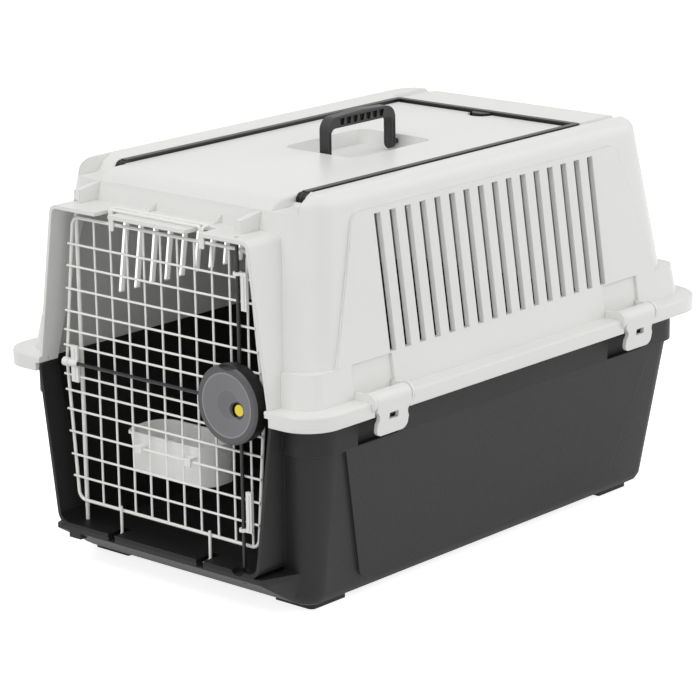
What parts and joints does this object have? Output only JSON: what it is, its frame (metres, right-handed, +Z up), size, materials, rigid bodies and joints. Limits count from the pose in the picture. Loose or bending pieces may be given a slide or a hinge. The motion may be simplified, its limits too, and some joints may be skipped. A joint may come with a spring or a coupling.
{
  "type": "pet carrier",
  "caption": "Two-part moulded pet carrier with slotted upper shell, latched lower tub, hinged wire door with a turn-knob bolt lock, hook-on bowl, folding carry handle and pull bail.",
  "frame": {"origin": "centre of the footprint on the floor, under the four foot pads", "axes": "+Z up, +Y from the wire door at the front to the rear wall, +X to the right seen from the front"},
  "size_m": [0.4068, 0.593, 0.4081],
  "materials": {
    "base": "finely grained charcoal moulding",
    "shell": "semi-gloss white moulding",
    "feet": "matte dark pads",
    "wire": "warm white coated steel wire",
    "guide": "white moulding",
    "lock_dark": "dark moulding",
    "knob": "satin grey moulding",
    "steel": "plain steel screw",
    "mark": "yellow position mark",
    "bolt": "black rod",
    "bowl": "off-white moulding",
    "handle": "dark grey moulding",
    "bail": "black moulding"
  },
  "bodies": {
    "carrier": {"base_shell": "base", "top_shell": "shell", "foot_pads": "feet"},
    "door": {"door_border": "wire", "door_hinge_rod": "wire", "door_uprights": "wire", "door_rows": "wire", "door_top_loop": "wire", "door_sill_legs": "wire", "rod_guide_upper": "guide", "rod_guide_lower": "guide", "rod_guide_side": "guide", "lock_back_plate": "lock_dark", "lock_housing": "lock_dark", "lock_screw": "steel"},
    "knob": {"lock_knob": "knob", "lock_cam": "lock_dark", "lock_indicator": "mark"},
    "upper_bolt": {"bolt_upper": "bolt"},
    "lower_bolt": {"bolt_lower": "bolt"},
    "side_bolt": {"bolt_side": "bolt"},
    "bowl": {"feeding_bowl": "bowl"},
    "front_right_latch": {"latch_front_right": "shell"},
    "rear_right_latch": {"latch_rear_right": "shell"},
    "front_left_latch": {"latch_front_left": "shell"},
    "rear_left_latch": {"latch_rear_left": "shell"},
    "handle": {"carry_handle": "handle"},
    "bail": {"pull_bail": "bail"}
  },
  "joints": [
    {"name": "door_swing", "type": "hinge", "parent": "carrier", "child": "door", "pos_m": [-0.1095, -0.2735, 0.2], "axis": [0, 0, -1], "range_deg": [0, 110]},
    {"name": "knob_turn", "type": "hinge", "parent": "door", "child": "knob", "pos_m": [0.098, -0.2895, 0.1982], "axis": [0, 1, 0], "range_deg": [0, 90]},
    {"name": "upper_bolt_slide", "type": "slide", "parent": "door", "child": "upper_bolt", "axis": [0, 0, 1], "range_m": [0, 0.01]},
    {"name": "lower_bolt_slide", "type": "slide", "parent": "door", "child": "lower_bolt", "axis": [0, 0, -1], "range_m": [0, 0.01]},
    {"name": "side_bolt_slide", "type": "slide", "parent": "door", "child": "side_bolt", "axis": [-1, 0, 0], "range_m": [0, 0.0195]},
    {"name": "bowl_lift", "type": "slide", "parent": "door", "child": "bowl", "axis": [0, 0, 1], "range_m": [0, 0.01]},
    {"name": "front_right_latch_swing", "type": "hinge", "parent": "carrier", "child": "front_right_latch", "pos_m": [0.1945, -0.1905, 0.1996], "axis": [0, -1, 0], "range_deg": [0, 110]},
    {"name": "rear_right_latch_swing", "type": "hinge", "parent": "carrier", "child": "rear_right_latch", "pos_m": [0.1945, 0.1755, 0.1996], "axis": [0, -1, 0], "range_deg": [0, 110]},
    {"name": "front_left_latch_swing", "type": "hinge", "parent": "carrier", "child": "front_left_latch", "pos_m": [-0.1945, -0.1905, 0.1996], "axis": [0, 1, 0], "range_deg": [0, 110]},
    {"name": "rear_left_latch_swing", "type": "hinge", "parent": "carrier", "child": "rear_left_latch", "pos_m": [-0.1945, 0.1755, 0.1996], "axis": [0, 1, 0], "range_deg": [0, 110]},
    {"name": "handle_fold", "type": "hinge", "parent": "carrier", "child": "handle", "pos_m": [0, -0.006, 0.3683], "axis": [0, 1, 0], "range_deg": [-84, 84]},
    {"name": "bail_lift", "type": "hinge", "parent": "carrier", "child": "bail", "pos_m": [0, -0.2065, 0.3705], "axis": [1, 0, 0], "range_deg": [0, 100]}
  ],
  "couplings": [
    {"joint": "upper_bolt_slide", "follows": "knob_turn", "m_per_rad": 0.0063662},
    {"joint": "lower_bolt_slide", "follows": "knob_turn", "m_per_rad": 0.0063662},
    {"joint": "side_bolt_slide", "follows": "knob_turn", "m_per_rad": 0.012414}
  ]
}
